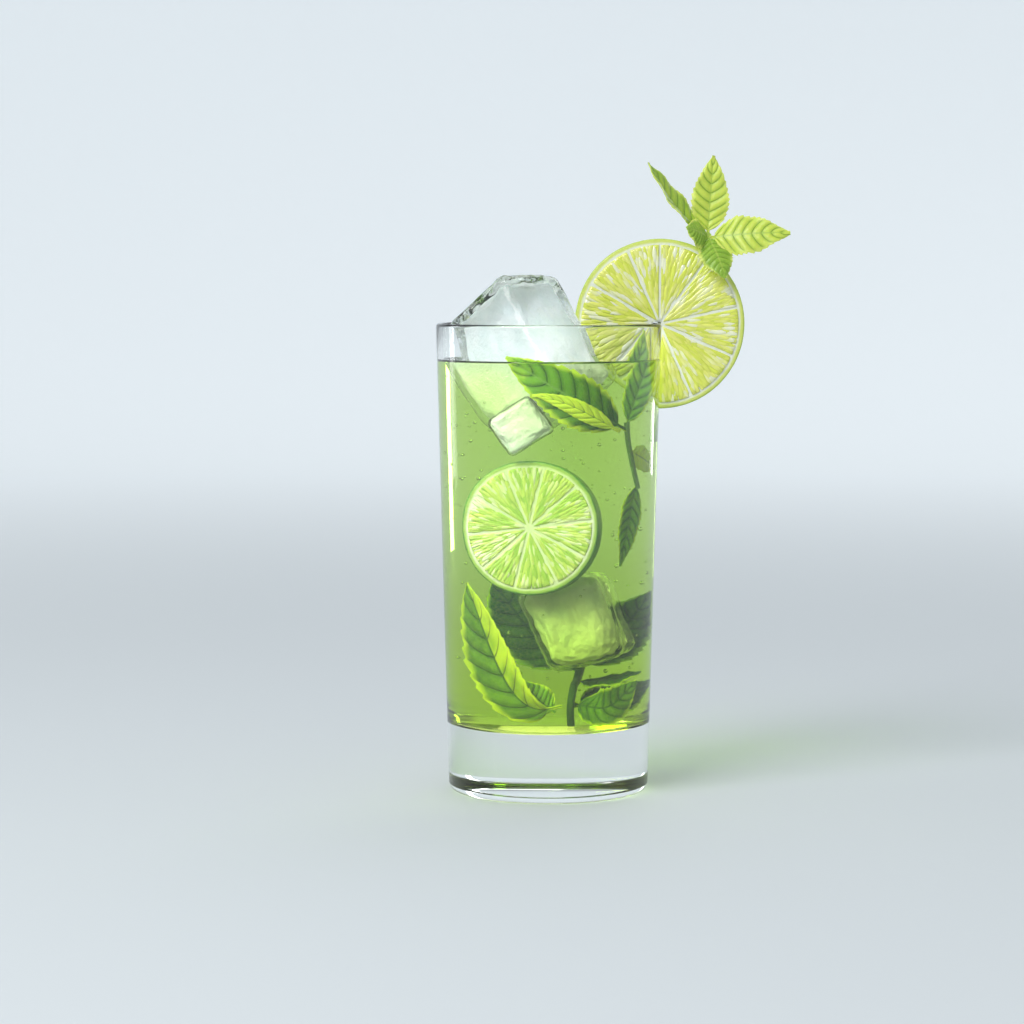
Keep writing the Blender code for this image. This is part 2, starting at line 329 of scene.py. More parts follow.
camera = bpy.data.objects.new("camera", bpy.data.cameras.new("camera"))
camera.location = CAMERA_PLACE
camera.rotation_euler = (math.radians(90 - TILT_DOWN), 0.0, math.radians(TURN_LEFT))
camera.data.lens = LENS
camera.data.sensor_width = 36.0
camera.data.clip_start = 0.01
bpy.context.collection.objects.link(camera)
bpy.context.scene.camera = camera
print("camera", LENS, "mm lens at", CAMERA_PLACE)

# %% [markdown]
# ## A pale floor that rises into a backdrop
#
# A glass shows little but what stands around it, so the surroundings matter as much as its own
# finish. A flat floor would end in a hard horizon right behind the drink. A shallow round bowl
# has none: the floor rises softly into a wall on every side. Behind the drink the wall is pale and
# glows a little, like the cloth of a light tent, so that it shines through the drink. In front it
# is a little darker.

# %% Floor and backdrop
FLOOR_RADIUS = 1.5
COVE_RADIUS = 0.9
WALL_TOP = 1.0
FLOOR_DROP = 0.00005      # keeps the floor a hair below the foot of the glass
FLOOR_SIDES, COVE_STEPS = 128, 24

profile = [(0.0, -FLOOR_DROP), (0.5, -FLOOR_DROP), (FLOOR_RADIUS, -FLOOR_DROP)]
for step in range(1, COVE_STEPS + 1):
    angle = math.radians(-90 + 90 * step / COVE_STEPS)
    profile.append((FLOOR_RADIUS + COVE_RADIUS * math.cos(angle),
                    COVE_RADIUS - FLOOR_DROP + COVE_RADIUS * math.sin(angle)))
profile.append((FLOOR_RADIUS + COVE_RADIUS, WALL_TOP))
turns = np.linspace(0, math.tau, FLOOR_SIDES, endpoint=False)
rows = [[(r * math.cos(a), r * math.sin(a), z) for a in turns] for r, z in profile[1:]]
verts = [(0.0, 0.0, -FLOOR_DROP)] + [point for row in rows for point in row]
faces = [(0, 1 + i, 1 + (i + 1) % FLOOR_SIDES) for i in range(FLOOR_SIDES)]
for row in range(len(rows) - 1):
    low, high = 1 + row * FLOOR_SIDES, 1 + (row + 1) * FLOOR_SIDES
    for i in range(FLOOR_SIDES):
        j = (i + 1) % FLOOR_SIDES
        faces.append((low + i, high + i, high + j, low + j))
floor = as_object("pale_floor", verts, faces)

paint, tree, shader = new_finish("pale_floor")
away = add(tree, "ShaderNodeVectorMath", {"operation": "LENGTH"}, {0: on_object(tree)}).outputs["Value"]
far = between(tree, away, 0.35, 1.9)
depth = parts_of(tree, on_object(tree))["Y"]
behind = between(tree, depth, -1.2, 0.6)
wall = tint(tree, behind, (0.64, 0.68, 0.70), (0.86, 0.90, 0.92))
glow = times(tree, times(tree, far, behind), 0.14)
fill(tree, shader, {"Base Color": tint(tree, far, (0.62, 0.66, 0.68), wall), "Roughness": 0.90,
                    "Specular IOR Level": 0.05, "Emission Color": (0.90, 0.96, 1.0, 1.0),
                    "Emission Strength": glow})
paint.cycles.emission_sampling = "NONE"
floor.data.materials.append(paint)
tell(floor)

# %% [markdown]
# ## Soft studio light
#
# Large lamps give soft shadows. One stands high on the left in front, one behind to light the
# drink through, and two tall narrow ones at the sides draw the white lines that mark the edges of
# clear glass. They are hidden from the camera itself, but mirrored in the glass. The two narrow
# ones only show as such mirror images and in what shines through.

# %% Lamps and sky
def lamp(name, place, size, power):
    """A flat rectangular lamp that faces the middle of the glass."""
    data = bpy.data.lights.new(name, "AREA")
    data.shape = "RECTANGLE"
    data.size, data.size_y = size
    data.energy = power
    made = bpy.data.objects.new(name, data)
    made.location = place
    aim = Vector((0.0, 0.0, 0.09)) - Vector(place)
    made.rotation_euler = aim.to_track_quat("-Z", "Y").to_euler()
    made.visible_camera = False
    bpy.context.collection.objects.link(made)
    return made


lamp("key", (-0.75, -0.95, 1.15), (0.8, 0.8), 18.5)
lamp("behind", (0.35, 1.30, 1.60), (1.4, 1.4), 7.0)
for strip in (lamp("left_strip", (-0.85, 0.45, 0.40), (0.10, 0.9), 0.8),
              lamp("right_strip", (0.70, 0.85, 0.40), (0.10, 0.9), 2.0)):
    strip.visible_diffuse = False      # they stand near the floor and would burn it out

world = bpy.data.worlds.new("sky")
bpy.context.scene.world = world
world.use_nodes = True
sky = world.node_tree.nodes["Background"]
sky.inputs["Color"].default_value = (0.90, 0.95, 1.0, 1.0)
sky.inputs["Strength"].default_value = 0.50
bpy.context.scene.view_settings.view_transform = "Standard"

# %% [markdown]
# ## The highball glass
#
# The glass is a straight, slightly tapered wall of two millimetres over a thick clear base. It
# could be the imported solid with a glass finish, but clear glass shows every facet, so we turn the
# same outline again with far more steps. A lathe outline and the Screw modifier do exactly what a
# glass works does.

# %% Turn the glass
GLASS_HEIGHT, RIM_RADIUS, FOOT_RADIUS, WALL = 0.150, 0.036, 0.032, 0.002
BASE_THICKNESS, FOOT_ROUND, FLOOR_ROUND = 0.022, 0.003, 0.004
TURN_STEPS = 192


def outer_radius(height):
    return FOOT_RADIUS + (RIM_RADIUS - FOOT_RADIUS) * height / GLASS_HEIGHT


def inner_radius(height):
    return outer_radius(height) - WALL


def corner(centre_radius, centre_height, radius, start, end, steps=10):
    """Outline points round a soft corner, with its angles in degrees."""
    angles = np.radians(np.linspace(start, end, steps + 1))
    return [(centre_radius + radius * math.cos(a), centre_height + radius * math.sin(a)) for a in angles]


def turned(name, outline):
    """A closed solid turned from an outline that starts and ends on the axis."""
    points = [(radius, 0.0, height) for radius, height in outline]
    made = plain_object(name, points, [(i, i + 1) for i in range(len(points) - 1)])
    screw = made.modifiers.new("turn", "SCREW")
    screw.steps = screw.render_steps = TURN_STEPS
    screw.use_merge_vertices = True
    screw.merge_threshold = 1e-6
    return sealed(name, bake_modifiers(made), 30)


def glass_outline():
    rim = WALL / 2
    points = [(0.0, 0.0), (0.012, 0.0)]
    points += corner(outer_radius(FOOT_ROUND) - FOOT_ROUND, FOOT_ROUND, FOOT_ROUND, -90, 0)
    points += [(outer_radius(h), h) for h in np.linspace(0.01, 0.14, 14)]
    points += corner(RIM_RADIUS - rim, GLASS_HEIGHT - rim, rim, 0, 180, 14)
    points += [(inner_radius(h), h) for h in np.linspace(0.14, 0.03, 12)]
    points += corner(inner_radius(BASE_THICKNESS) - FLOOR_ROUND, BASE_THICKNESS + FLOOR_ROUND,
                     FLOOR_ROUND, 0, -90)
    return points + [(0.012, BASE_THICKNESS), (0.0, BASE_THICKNESS)]


highball = turned("highball_glass", glass_outline())
tell(highball)

# %% [markdown]
# Clear glass is all refraction: a Principled shader with full transmission and an index of 1.5.
# Soda-lime glass is faintly green where light runs along it. A very soft unevenness, far below a
# millimetre, keeps the reflections from looking computed.

# %% Glass finish
clear_glass, tree, shader = new_finish("clear_glass")
place = on_object(tree)
fill(tree, shader, {"Base Color": (0.975, 0.995, 0.985, 1.0), "Roughness": 0.0, "IOR": 1.5,
                    "Transmission Weight": 1.0,
                    "Normal": bumps(tree, speckle(tree, place, 45.0, 1.0), 0.00006)})
lamps_pass(tree, shader, (0.96, 0.98, 0.97))
highball.data.materials.append(clear_glass)
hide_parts("glass")
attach(highball, "root")

# %% [markdown]
# ## Ice
#
# A block of ice from a tray has flat faces, edges rounded by melting, and shallow hollows. It
# could be a bevelled cube, but a bevel has the same radius everywhere. Here a fine grid on a cube
# is pushed out to a rounded box, and slow noise then dents the faces and softens the corners. There
# are three: the tall block, a cube low in the glass, and the tip of a small piece above it.

# %% Shape a block of ice
ICE_CELLS = 44
ICE_FLAT_SHARE = 0.62
SUNK_BELOW, CLEAR_ABOVE = 0.134, 0.150


def ice_block(name, corner_place, edges, sizes, rounding, dent, seed, shrink=0.0, sunk_shrink=None):
    """A melted block that starts at one corner and runs along three edges."""
    bm = bmesh.new()
    bmesh.ops.create_cube(bm, size=2.0)
    bmesh.ops.subdivide_edges(bm, edges=bm.edges, cuts=ICE_CELLS - 1, use_grid_fill=True)
    edges = [Vector(e).normalized() for e in edges]
    centre = Vector(corner_place) + sum((e * s / 2 for e, s in zip(edges, sizes)), Vector())
    core = [s / 2 - rounding for s in sizes]
    shift = Vector((seed * 7.3, seed * 3.1, seed * 5.7))
    for vert in bm.verts:
        side = max(range(3), key=lambda i: abs(vert.co[i]))
        out = Vector()
        base = Vector()
        for i, value in enumerate(vert.co):
            size = abs(value)
            base[i] = math.copysign(min(1.0, size / ICE_FLAT_SHARE), value) * core[i]
            turn = max(0.0, (size - ICE_FLAT_SHARE) / (1 - ICE_FLAT_SHARE)) * math.pi / 4
            out[i] = math.copysign(1.0 if i == side else math.tan(turn), value)
        out.normalize()
        slow = noise.noise(Vector(vert.co) * 1.3 + shift)
        fine = noise.noise(Vector(vert.co) * 4.5 + shift)
        inset = shrink
        if sunk_shrink is not None:
            height = centre.z + sum(e.z * base[i] for i, e in enumerate(edges))
            above = min(1.0, max(0.0, (height - SUNK_BELOW) / (CLEAR_ABOVE - SUNK_BELOW)))
            inset = sunk_shrink + (shrink - sunk_shrink) * above
        local = base + out * (rounding + dent * (slow + 0.3 * fine) - inset)
        vert.co = centre + sum((e * local[i] for i, e in enumerate(edges)), Vector())
    verts = [v.co.copy() for v in bm.verts]
    faces = [[v.index for v in f.verts] for f in bm.faces]
    bm.free()
    return as_object(name, verts, faces, 60)


TALL_ICE = dict(corner_place=(-0.0152, -0.0138, 0.1672),
                edges=((0.417, -0.384, -0.824), (0.676, 0.737, 0.0), (-0.607, 0.558, -0.566)),
                sizes=(0.0415, 0.0275, 0.0320), rounding=0.0045, dent=0.0009, seed=1.0)
SUNK_ICE = dict(corner_place=(-0.0092, -0.0182, 0.0665),
                edges=((0.93, -0.02, 0.27), (0.33, -0.08, -0.93), (0.10, 0.99, 0.0)),
                sizes=(0.0220, 0.0285, 0.0215), rounding=0.0042, dent=0.0010, seed=2.0)
ICE_CHIP = dict(corner_place=(-0.0112, -0.0276, 0.1090),
                edges=((-0.56, 0.11, 0.81), (0.83, 0.02, 0.56), (0.12, 0.98, -0.10)),
                sizes=(0.0134, 0.0156, 0.0048), rounding=0.0019, dent=0.0004, seed=3.0)
tall_ice = ice_block("ice_block_tall", **TALL_ICE)
sunk_ice = ice_block("ice_cube_sunk", **SUNK_ICE)
ice_chip = ice_block("ice_chip_sunk", **ICE_CHIP)
for block in (tall_ice, sunk_ice, ice_chip):
    tell(block)

# %% [markdown]
# The ice is clear at its faces and milky in the middle, where air was caught as it froze. Two
# nested pieces say that plainly: the outer block refracts like ice, and a rougher one inside it
# scatters light. Under the liquid this core nearly fills its block, since clear ice can hardly be
# seen there; above it the core draws back and leaves clear faces.

# %% Ice finishes
clear_ice, tree, shader = new_finish("clear_ice")
place = on_object(tree)
hollows = times(tree, cells(tree, place, 60.0), 0.6)
height = calc(tree, "ADD", speckle(tree, place, 130.0, 3.0), hollows)
fill(tree, shader, {"Base Color": (0.97, 1.0, 0.995, 1.0), "Roughness": 0.03, "IOR": 1.31,
                    "Transmission Weight": 1.0, "Normal": bumps(tree, height, 0.0004, 0.6)})
lamps_pass(tree, shader, (0.97, 0.985, 0.98))


def milky(name, sunk_clear, clear, see_through):
    """Ice with caught air: some light goes through it and some is scattered back."""
    made, tree, shader = new_finish(name)
    place = on_object(tree)
    cloud = speckle(tree, place, 90.0, 4.0, 0.6)
    colour = tint(tree, between(tree, cloud, 0.35, 0.65), (0.86, 0.93, 0.92), (0.99, 1.0, 0.99))
    above = between(tree, parts_of(tree, place)["Z"], SUNK_BELOW, CLEAR_ABOVE)
    let_through = calc(tree, "MULTIPLY_ADD", above, clear - sunk_clear, sunk_clear)
    fill(tree, shader, {"Base Color": colour, "Roughness": 0.4, "IOR": 1.12,
                        "Transmission Weight": let_through,
                        "Normal": bumps(tree, speckle(tree, place, 300.0, 4.0, 0.7), 0.0010)})
    lamps_pass(tree, shader, (see_through, see_through, see_through))
    return made


milky_ice = milky("milky_ice", 0.25, 0.78, 0.86)
white_ice = milky("white_ice", 0.12, 0.12, 0.60)
SUNK_CORE_DEPTH = 0.0016
milk = []
for source, block, depth, finish in ((TALL_ICE, tall_ice, 0.0034, milky_ice),
                                     (SUNK_ICE, sunk_ice, SUNK_CORE_DEPTH, white_ice),
                                     (ICE_CHIP, ice_chip, 0.0007, white_ice)):
    block.data.materials.append(clear_ice)
    soft = {"dent": source["dent"] * 2.0, "rounding": source["rounding"] * 1.25}
    inner = ice_block(block.name + "_milky_core", **{**source, **soft}, shrink=depth,
                      sunk_shrink=min(depth, SUNK_CORE_DEPTH))
    inner.data.materials.append(finish)
    milk.append(inner)
for piece in (tall_ice, sunk_ice, ice_chip, *milk):
    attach(piece, "root")
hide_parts("ice_block")

# %% [markdown]
# ## The drink
#
# The liquid fills the glass to twelve millimetres under the rim. Its solid reaches a little way
# into the glass wall, because an air gap there would mirror like silver. At the top the liquid
# climbs the wall in a small meniscus. Where ice is, there is no liquid, so the blocks are cut out
# of it, again a little too small to leave a gap.

# %% Pour the drink
DRINK_LEVEL = 0.138
INTO_WALL = 0.0002
ICE_OVERLAP = 0.00008
MENISCUS_HEIGHT, MENISCUS_WIDTH = 0.0007, 0.0022


def drink_outline():
    floor_height = BASE_THICKNESS - INTO_WALL
    points = [(0.0, floor_height), (0.012, floor_height)]
    points += corner(inner_radius(BASE_THICKNESS) - FLOOR_ROUND + INTO_WALL, floor_height + FLOOR_ROUND,
                     FLOOR_ROUND, -90, 0)
    points += [(inner_radius(h) + INTO_WALL, h) for h in np.linspace(0.03, DRINK_LEVEL - 0.004, 20)]
    wall = inner_radius(DRINK_LEVEL) + INTO_WALL
    for share in np.linspace(0.0, 1.0, 9):
        rise = MENISCUS_HEIGHT * (1 - share) ** 2.5
        points.append((wall - MENISCUS_WIDTH * share, DRINK_LEVEL + rise))
    return points + [(0.016, DRINK_LEVEL), (0.0, DRINK_LEVEL)]


drink = turned("mojito_drink", drink_outline())
for source in (TALL_ICE, SUNK_ICE, ICE_CHIP):
    space = ice_block("space", **source, shrink=ICE_OVERLAP)
    cut_out(drink, space)
    bpy.data.objects.remove(space, do_unlink=True)
drink.data.set_sharp_from_angle(angle=math.radians(40))
tell(drink)

# %% [markdown]
# A liquid has its colour in its depth, not on its surface: the further light runs through it, the
# more blue it loses, and thin places stay pale. Volume Absorption does that. The upper part of the
# drink is watered down by the ice, which a gentle tint by height adds.

# %% Drink finish
lime_drink, tree, shader = new_finish("lime_drink")
upper = between(tree, parts_of(tree, on_object(tree))["Z"], 0.028, 0.088)
fill(tree, shader, {"Base Color": tint(tree, upper, (0.83, 0.93, 0.20), (0.95, 0.99, 0.86)),
                    "Roughness": 0.0, "IOR": 1.333, "Transmission Weight": 1.0})
lamps_pass(tree, shader, (0.97, 0.99, 0.94))
depth = add(tree, "ShaderNodeVolumeAbsorption", {}, {"Color": (0.70, 0.862, 0.10, 1.0), "Density": 39.0})
tree.links.new(depth.outputs[0], tree.nodes["Material Output"].inputs["Volume"])
drink.data.materials.clear()
drink.data.materials.append(lime_drink)

# %% [markdown]
# ### Bubbles
#
# Soda leaves small bubbles in the drink. A bubble is a place where the liquid is not, so each one
# is a little ball whose skin faces inwards, and all of them belong to the drink's own mesh. The
# places are drawn at random with a fixed seed, away from the ice, and Geometry Nodes sets a ball
# of random size on each.

# %% Tree that blows bubbles
BUBBLES = 420
BUBBLES_FROM, BUBBLES_SPAN, BUBBLES_TO_WALL = 0.026, 0.1105, 0.0065


def inside_block(place, block, margin):
    edges = [Vector(e).normalized() for e in block["edges"]]
    offset = Vector(place) - Vector(block["corner_place"])
    return all(-margin < offset.dot(e) < s + margin for e, s in zip(edges, block["sizes"]))


def bubble_tree():
    tree, start, end = new_tree("bubbles", [("Smallest", "NodeSocketFloat", 0.00012),
                                            ("Largest", "NodeSocketFloat", 0.00065),
                                            ("Finish", "NodeSocketMaterial", None)])
    ball = add(tree, "GeometryNodeMeshUVSphere", {}, {"Segments": 12, "Rings": 8, "Radius": 1.0})
    inwards = add(tree, "GeometryNodeFlipFaces", {}, {0: ball.outputs["Mesh"]})
    smooth = add(tree, "GeometryNodeSetShadeSmooth", {}, {"Geometry": inwards.outputs[0]})
    size = calc(tree, "POWER", random_share(tree, 0.0, 1.0, 4), 3.0)
    spread = calc(tree, "SUBTRACT", start.outputs["Largest"], start.outputs["Smallest"])
    scale = calc(tree, "MULTIPLY_ADD", size, spread, start.outputs["Smallest"])
    points = add(tree, "GeometryNodeMeshToPoints", {}, {0: start.outputs["Geometry"]})
    placed = add(tree, "GeometryNodeInstanceOnPoints", {},
                 {"Points": points.outputs[0], "Instance": smooth.outputs[0], "Scale": scale})
    return end_tree(tree, start, end, placed.outputs[0])


chance = np.random.default_rng(12)
places = []
while len(places) < BUBBLES:
    height = BUBBLES_FROM + BUBBLES_SPAN * chance.random() ** 0.8
    reach = (inner_radius(height) - BUBBLES_TO_WALL) * chance.random() ** 0.4
    angle = chance.random() * math.tau
    place = (reach * math.cos(angle), reach * math.sin(angle), height)
    if not any(inside_block(place, block, 0.001) for block in (TALL_ICE, SUNK_ICE, ICE_CHIP)):
        places.append(place)
bubbles = plain_object("bubbles", places)
run_tree(bubbles, bubble_tree(), {"Finish": lime_drink})
drink = joined("mojito_drink", [drink, bubbles])
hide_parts("drink")
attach(drink, "root")
tell(drink)

# %% [markdown]
# ## Lime wheels
#
# A slice of lime is a disc of pith with a thin green rind round it, and ten wedges of pulp in
# thin white membranes. The wedges aren't equal, so their angles are listed. The disc comes first,
# and each wedge of pulp is then a soft pillow that stands a little proud of the pith, since the
# membranes shrink back when a lime is cut.

# %% Disc of rind and pith
RIND, PITH, CORE_RADIUS, MEMBRANE, PULP_RELIEF = 0.0012, 0.0008, 0.0014, 0.0007, 0.00035
RIM_WHEEL = dict(radius=0.0272, thickness=0.0050, membranes=(12, 54, 90, 114, 150, 186, 222, 264, 294, 336))
SUNK_WHEEL = dict(radius=0.0210, thickness=0.0046, membranes=(8, 44, 78, 112, 149, 188, 224, 258, 297, 332))


def lime_disc(name, radius, thickness, seed):
    """The pith and its rind, flat on both faces and rounded at the edge."""
    half = thickness / 2
    angles = np.linspace(0, math.tau, 300, endpoint=False)
    edge = RIND * 0.5
    outline = [(r, half) for r in np.linspace(0.0006, radius - edge, 22)]
    outline += [(radius - edge + edge * math.sin(a), half - edge + edge * math.cos(a))
                for a in np.radians((25, 50, 75, 90))]
    front = list(outline)
    outline += [(radius, h) for h in np.linspace(half - edge, edge - half, 9)[1:-1]]
    outline += [(r, -h) for r, h in reversed(front)]
    rings = []
    for r, h in outline:
        ring = []
        for a in angles:
            place = Vector((math.cos(a), math.sin(a), h / half * 0.4))
            swell = 1 + 0.006 * noise.noise(place * 1.6 + Vector((seed, 0, 0)))
            pore = 0.00006 * noise.noise(place * 60) if r > radius - edge * 1.5 else 0.0
            lift = 0.00005 * noise.noise(Vector((r * math.cos(a), r * math.sin(a), h)) * 900)
            reach = r * swell + pore
            ring.append((reach * math.cos(a), -(h + math.copysign(lift, h)), reach * math.sin(a)))
        rings.append(ring)
    return as_object(name, *skin(rings))


# %% [markdown]
# Each wedge of pulp is outlined by the two membranes beside it, which run parallel to their own
# radius, and by the pith. Corner cutting (Chaikin's rule) rounds that outline. The same outline,
# shrunk ring by ring towards its middle and lifted, makes the pillow.

# %% Wedges of pulp
def wedge_outline(start, end, radius):
    """A closed, rounded outline of one wedge in the plane of the wheel."""
    outer = radius - RIND - PITH
    half = MEMBRANE / 2

    def rim_point(distance, share):
        low = start + math.asin(min(0.9, half / distance))
        high = end - math.asin(min(0.9, half / distance))
        angle = low + (high - low) * share
        return np.array((distance * math.cos(angle), distance * math.sin(angle)))

    inner = max(CORE_RADIUS, 1.15 * half / math.sin((end - start) / 2))
    points = [rim_point(d, 0.0) for d in np.linspace(inner, outer, 5)]
    points += [rim_point(outer, share) for share in np.linspace(0.0, 1.0, 7)[1:-1]]
    points += [rim_point(d, 1.0) for d in np.linspace(outer, inner, 5)]
    points = np.array(points)
    for _ in range(3):
        after = np.roll(points, -1, axis=0)
        points = np.stack([0.75 * points + 0.25 * after, 0.25 * points + 0.75 * after], 1).reshape(-1, 2)
    return points


def wedge_pillow(outline, thickness):
    """Rings from the front of the wedge over its edge to the back."""
    middle = outline.mean(0)
    shares = np.array([0.05, 0.25, 0.45, 0.65, 0.8, 0.9, 0.96, 1.0])
    rings = []
    for side in (1, -1):
        for share in shares if side > 0 else shares[::-1]:
            flat = middle + (outline - middle) * share
            rise = thickness / 2 - 0.0005 + (0.0005 + PULP_RELIEF) * (1 - share ** 5)
            rings.append([(x, -side * rise, z) for x, z in flat])
    return rings


# %% [markdown]
# The pulp itself is hundreds of small juice sacs that point to the middle of the fruit. A scatter
# of them is work for Geometry Nodes: points are strewn over each wedge at a least distance, a
# stretched ball is set on each and turned along its radius, and a random number per sac is stored
# for the finish to vary its colour.

# %% Tree that strews juice sacs
SAC_SIDES, SAC_RINGS = 7, 6
SAC_POINTS = SAC_SIDES * (SAC_RINGS - 1) + 2


def juice_sac_tree():
    tree, start, end = new_tree("juice sacs", [
        ("Spacing", "NodeSocketFloat", 0.0012), ("Length", "NodeSocketFloat", 0.0030),
        ("Width", "NodeSocketFloat", 0.0008), ("Depth", "NodeSocketFloat", 0.0003),
        ("Seed", "NodeSocketInt", 1), ("Finish", "NodeSocketMaterial", None)])
    strew = add(tree, "GeometryNodeDistributePointsOnFaces", {"distribute_method": "POISSON"},
                {"Mesh": start.outputs["Geometry"], "Distance Min": start.outputs["Spacing"],
                 "Density Max": 4.0e6, "Seed": start.outputs["Seed"]})
    ball = add(tree, "GeometryNodeMeshUVSphere", {},
               {"Segments": SAC_SIDES, "Rings": SAC_RINGS, "Radius": 1.0})
    along = parts_of(tree, add(tree, "GeometryNodeInputPosition", {}, {}).outputs[0])
    swell = calc(tree, "MULTIPLY_ADD", along["Z"], 0.35, 0.75)
    drop_place = add(tree, "ShaderNodeCombineXYZ", {}, {
        "X": times(tree, along["X"], swell), "Y": times(tree, along["Y"], swell),
        "Z": along["Z"]})
    drop = add(tree, "GeometryNodeSetPosition", {},
               {"Geometry": ball.outputs["Mesh"], "Position": drop_place.outputs[0]})
    smooth = add(tree, "GeometryNodeSetShadeSmooth", {}, {"Geometry": drop.outputs[0]})
    place = parts_of(tree, add(tree, "GeometryNodeInputPosition", {}, {}).outputs[0])
    outwards = calc(tree, "ARCTAN2", place["X"], place["Z"])
    wobble = random_share(tree, -0.12, 0.12, 3)
    turn = add(tree, "ShaderNodeCombineXYZ", {}, {"Y": calc(tree, "ADD", outwards, wobble)})
    sizes = add(tree, "ShaderNodeCombineXYZ", {}, {"X": start.outputs["Width"], "Y": start.outputs["Depth"],
                                                   "Z": start.outputs["Length"]})
    scaled = add(tree, "ShaderNodeVectorMath", {"operation": "SCALE"},
                 {0: sizes.outputs[0], "Scale": random_share(tree, 0.8, 1.2, 5)})
    placed = add(tree, "GeometryNodeInstanceOnPoints", {},
                 {"Points": strew.outputs["Points"], "Instance": smooth.outputs[0],
                  "Rotation": turn.outputs[0], "Scale": scaled.outputs[0]})
    stored = add(tree, "GeometryNodeStoreNamedAttribute", {"data_type": "FLOAT", "domain": "INSTANCE"},
                 {"Geometry": placed.outputs[0], "Name": "sac_tone",
                  "Value": random_share(tree, 0.0, 1.0, 9)})
    return end_tree(tree, start, end, stored.outputs[0])


juice_sacs = juice_sac_tree()
print("geometry tree:", juice_sacs.name)

# %% [markdown]
# ### Lime finishes
#
# Pith is a dull white. The rind is green only in its outer millimetre, with fine oil pores. Pulp
# is wet and lets light in: a yellow-green that is paler on some sacs and deeper on others, with a
# little light scattered inside and a thin wet coat.

# %% Rind, pith and pulp
def rind_and_pith(name, radius, green, edge_green):
    """White pith inside, green within a millimetre of the edge."""
    made, tree, shader = new_finish(name)
    place = attribute(tree, "on_wheel", "Vector")
    parts = parts_of(tree, place)
    out = calc(tree, "SQRT", calc(tree, "ADD", calc(tree, "POWER", parts["X"], 2.0),
                                  calc(tree, "POWER", parts["Z"], 2.0)))
    uneven = times(tree, calc(tree, "SUBTRACT", speckle(tree, place, 260.0, 3.0), 0.5), 0.0009)
    out = calc(tree, "ADD", out, uneven)
    white = tint(tree, speckle(tree, place, 500.0, 3.0), (0.80, 0.84, 0.66), (0.90, 0.92, 0.82))
    pale = tint(tree, between(tree, out, radius - RIND * 1.5, radius - RIND * 0.7), white, green)
    colour = tint(tree, between(tree, out, radius - RIND * 0.6, radius - RIND * 0.1), pale, edge_green)
    pores = times(tree, cells(tree, place, 1300.0), 0.5)
    relief = calc(tree, "ADD", pores, speckle(tree, place, 900.0, 3.0))
    fill(tree, shader, {"Base Color": colour, "Roughness": 0.42, "Subsurface Weight": 0.25,
                        "Subsurface Radius": (0.8, 0.8, 0.3), "Subsurface Scale": 0.001,
                        "Coat Weight": 0.35, "Coat Roughness": 0.15,
                        "Normal": bumps(tree, relief, 0.00012)})
    return made


def pulp(name, pale, full, deep):
    made, tree, shader = new_finish(name)
    place = attribute(tree, "on_wheel", "Vector")
    tone = calc(tree, "MULTIPLY_ADD", attribute(tree, "sac_tone"), 0.55,
                times(tree, speckle(tree, place, 130.0, 2.0), 0.5))
    colour = tint(tree, between(tree, tone, 0.30, 0.58), deep, full)
    colour = tint(tree, between(tree, tone, 0.58, 0.80), colour, pale)
    fill(tree, shader, {"Base Color": colour, "Roughness": 0.24, "Subsurface Weight": 0.2,
                        "Subsurface Radius": (1.0, 1.0, 0.35), "Subsurface Scale": 0.0003,
                        "Coat Weight": 0.6, "Coat Roughness": 0.08,
                        "Normal": bumps(tree, speckle(tree, place, 1500.0, 2.0), 0.00006)})
    return made


# %% [markdown]
# Both wheels are built flat, facing the viewer, with their own coordinates stored on every point,
# and then moved to their places. The wheel on the rim is slit from its middle down: the same ring
# as the glass wall, a little thicker, is cut out of each of its pieces.

# %% Press the sacs into their wedges
def press_into_wedges(item, membranes, radius):
    """Brings sac points that cross a membrane or the pith back to it, since sacs end there."""
    mesh = item.data
    places = places_of(mesh).reshape(-1, SAC_POINTS, 3)
    middles = places.mean(1)
    middle_angle = np.degrees(np.arctan2(middles[:, 2], middles[:, 0])) % 360
    lows = np.array(membranes, float)
    highs = np.append(lows[1:], lows[0] + 360)
    wedge = np.searchsorted(lows, middle_angle) - 1
    low, span = lows[wedge][:, None], (highs - lows)[wedge][:, None]
    distance = np.hypot(places[..., 0], places[..., 2])
    angle = (np.degrees(np.arctan2(places[..., 2], places[..., 0])) - low + 180) % 360 - 180
    distance = np.clip(distance, CORE_RADIUS, radius - RIND - PITH)
    margin = np.degrees(np.arcsin(np.clip(0.55 * MEMBRANE / distance, 0, 0.9)))
    margin = np.minimum(margin, span * 0.45)
    angle = np.radians(np.clip(angle, margin, span - margin) + low)
    places[..., 0], places[..., 2] = distance * np.cos(angle), distance * np.sin(angle)
    mesh.vertices.foreach_set("co", places.ravel())
    mesh.update()


def clear_of(item, centre, wall):
    """Leaves out the sacs that the glass wall would cut through."""
    mesh = item.data
    places = places_of(mesh).reshape(-1, SAC_POINTS, 3) + np.array(centre)
    away = np.hypot(places[..., 0], places[..., 1])
    height = places[..., 2]
    inside = (away > inner_radius(height) - wall) & (away < outer_radius(height) + wall)
    inside &= height < GLASS_HEIGHT + wall
    hit = np.repeat(inside.any(1), SAC_POINTS)
    bm = bmesh.new()
    bm.from_mesh(mesh)
    bmesh.ops.delete(bm, geom=[v for v, out in zip(list(bm.verts), hit) if out], context="VERTS")
    bm.to_mesh(mesh)
    bm.free()


# %% [markdown]
# Each wheel is then built in the same order: disc, wedges, sacs, slit.

# %% Build a wheel
def remember_place(item):
    """Stores where each point lies on the flat wheel, for the finishes to read."""
    if "on_wheel" not in item.data.attributes:
        item.data.attributes.new("on_wheel", "FLOAT_VECTOR", "POINT")
    item.data.attributes["on_wheel"].data.foreach_set("vector", places_of(item.data))


